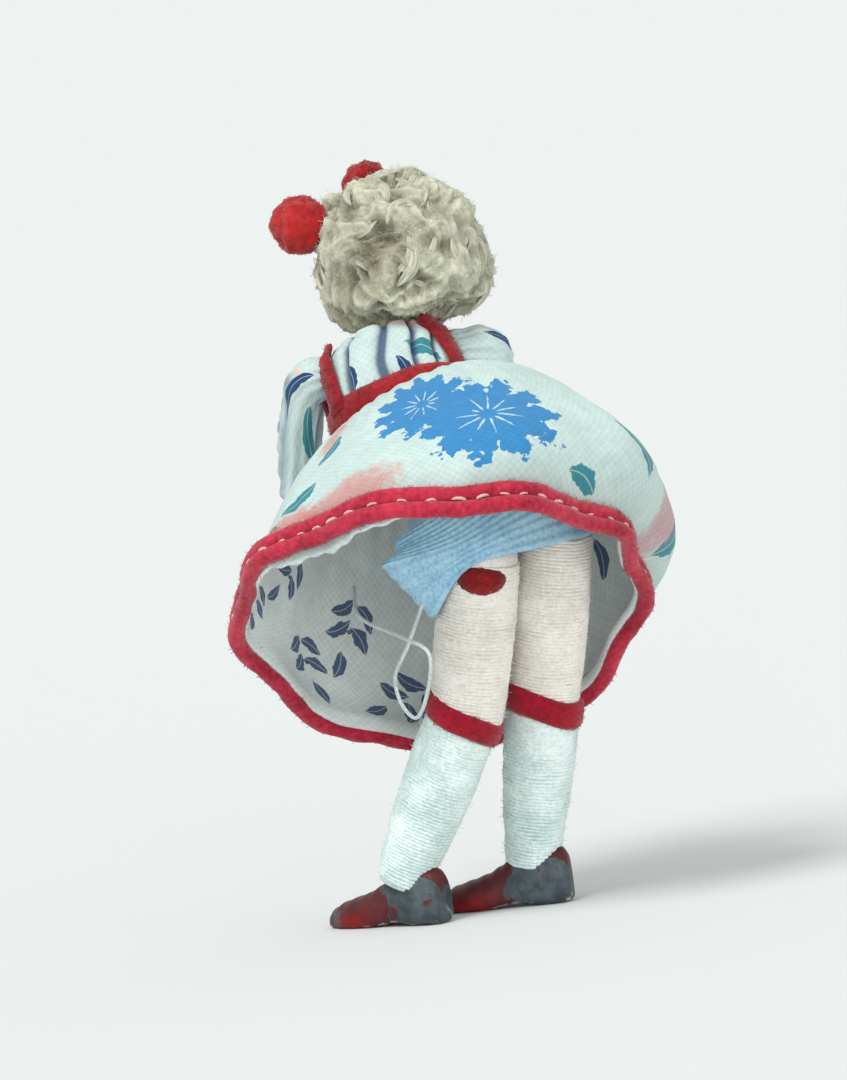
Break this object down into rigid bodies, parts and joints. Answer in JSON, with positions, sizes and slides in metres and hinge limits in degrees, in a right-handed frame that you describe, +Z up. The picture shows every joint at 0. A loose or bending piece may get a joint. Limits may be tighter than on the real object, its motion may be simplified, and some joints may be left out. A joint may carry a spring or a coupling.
{
  "type": "miniature doll",
  "caption": "Small bendable dolls'-house girl doll bowing forward: wool wig, printed cotton dress with red trim, thread-wound legs and cast metal shoes.",
  "frame": {"origin": "on the floor under the middle of the doll's box, in its pictured bow", "axes": "+Z up, the feet and hips face -Y, +X is the doll's left"},
  "size_m": [0.0458, 0.0494, 0.0789],
  "materials": {
    "armature_wire": "dull drawn wire",
    "padding": "matt cotton wadding",
    "skin_cloth": "matt flesh-coloured stockinette",
    "wig_wool": "matt felted wool",
    "bow_wool": "fuzzy red wool",
    "red_wool": "fuzzy red wool",
    "print_cotton": "matt printed cotton",
    "blue_knit": "fine ribbed knit",
    "cream_thread": "matt cotton thread",
    "white_thread": "matt cotton thread",
    "shoe_metal": "worn paint on cast metal",
    "sewing_thread": "fine cotton thread"
  },
  "bodies": {
    "torso": {"torso_padding": "padding", "spine_wire": "armature_wire", "shoulder_wire": "armature_wire", "knickers": "blue_knit", "bodice": "print_cotton", "belt": "red_wool", "left_strap": "red_wool", "right_strap": "red_wool", "skirt": "print_cotton", "hem_trim": "red_wool", "loose_thread": "sewing_thread"},
    "neck": {"neck_wrap": "skin_cloth", "neck_wire": "armature_wire"},
    "head": {"head": "skin_cloth", "hair": "wig_wool", "left_bow": "bow_wool", "upper_bow": "bow_wool"},
    "left_upper_arm": {"left_upper_arm": "padding", "left_upper_arm_wire": "armature_wire", "left_sleeve": "print_cotton"},
    "left_forearm": {"left_forearm": "skin_cloth", "left_forearm_wire": "armature_wire", "left_hand": "skin_cloth"},
    "left_thigh": {"left_thigh_padding": "padding", "left_thigh_wire": "armature_wire", "left_thigh_wrap": "cream_thread", "thigh_patch": "red_wool"},
    "left_shin": {"left_shin_padding": "padding", "left_shin_wire": "armature_wire", "left_stocking_wrap": "white_thread", "left_garter": "red_wool"},
    "left_foot": {"left_shoe": "shoe_metal"},
    "right_upper_arm": {"right_upper_arm": "padding", "right_upper_arm_wire": "armature_wire", "right_sleeve": "print_cotton"},
    "right_forearm": {"right_forearm": "skin_cloth", "right_forearm_wire": "armature_wire", "right_hand": "skin_cloth"},
    "right_thigh": {"right_thigh_padding": "padding", "right_thigh_wire": "armature_wire", "right_thigh_wrap": "cream_thread"},
    "right_shin": {"right_shin_padding": "padding", "right_shin_wire": "armature_wire", "right_stocking_wrap": "white_thread", "right_garter": "red_wool"},
    "right_foot": {"right_shoe": "shoe_metal"}
  },
  "joints": [
    {"name": "neck_nod", "type": "hinge", "parent": "torso", "child": "neck", "pos_m": [-0.00053, -0.00663, 0.06094], "axis": [1, 0, 0], "range_deg": [-8, 20]},
    {"name": "head_turn", "type": "hinge", "parent": "neck", "child": "head", "pos_m": [-0.00315, -0.00593, 0.06889], "axis": [-0.3115, 0.0839, 0.9465], "range_deg": [-60, 60]},
    {"name": "left_shoulder_bend", "type": "hinge", "parent": "torso", "child": "left_upper_arm", "pos_m": [0.00849, -0.00785, 0.05724], "axis": [0.9135, -0.4067, 0], "range_deg": [-60, 30]},
    {"name": "left_elbow_bend", "type": "hinge", "parent": "left_upper_arm", "child": "left_forearm", "pos_m": [0.00686, -0.0146, 0.05151], "axis": [0.9135, -0.4067, 0], "range_deg": [-35, 35]},
    {"name": "left_hip_bend", "type": "hinge", "parent": "torso", "child": "left_thigh", "pos_m": [-0.00082, 0.00843, 0.03787], "axis": [1, 0, 0], "range_deg": [-10, 30]},
    {"name": "left_knee_bend", "type": "hinge", "parent": "left_thigh", "child": "left_shin", "pos_m": [0.00087, 0.00425, 0.022], "axis": [1, 0, 0], "range_deg": [0, 45]},
    {"name": "left_ankle_bend", "type": "hinge", "parent": "left_shin", "child": "left_foot", "pos_m": [0.00618, -0.00157, 0.0075], "axis": [1, 0, 0], "range_deg": [-20, 20]},
    {"name": "right_shoulder_bend", "type": "hinge", "parent": "torso", "child": "right_upper_arm", "pos_m": [-0.00875, -0.00065, 0.05786], "axis": [0.9135, -0.4067, 0], "range_deg": [-60, 10]},
    {"name": "right_elbow_bend", "type": "hinge", "parent": "right_upper_arm", "child": "right_forearm", "pos_m": [-0.01267, -0.00638, 0.05213], "axis": [0.9135, -0.4067, 0], "range_deg": [-35, 35]},
    {"name": "right_hip_bend", "type": "hinge", "parent": "torso", "child": "right_thigh", "pos_m": [-0.00962, 0.00843, 0.03943], "axis": [1, 0, 0], "range_deg": [-5, 30]},
    {"name": "right_knee_bend", "type": "hinge", "parent": "right_thigh", "child": "right_shin", "pos_m": [-0.00842, 0.00443, 0.02346], "axis": [1, 0, 0], "range_deg": [0, 45]},
    {"name": "right_ankle_bend", "type": "hinge", "parent": "right_shin", "child": "right_foot", "pos_m": [-0.00722, 0.00043, 0.0075], "axis": [1, 0, 0], "range_deg": [-20, 20]}
  ]
}
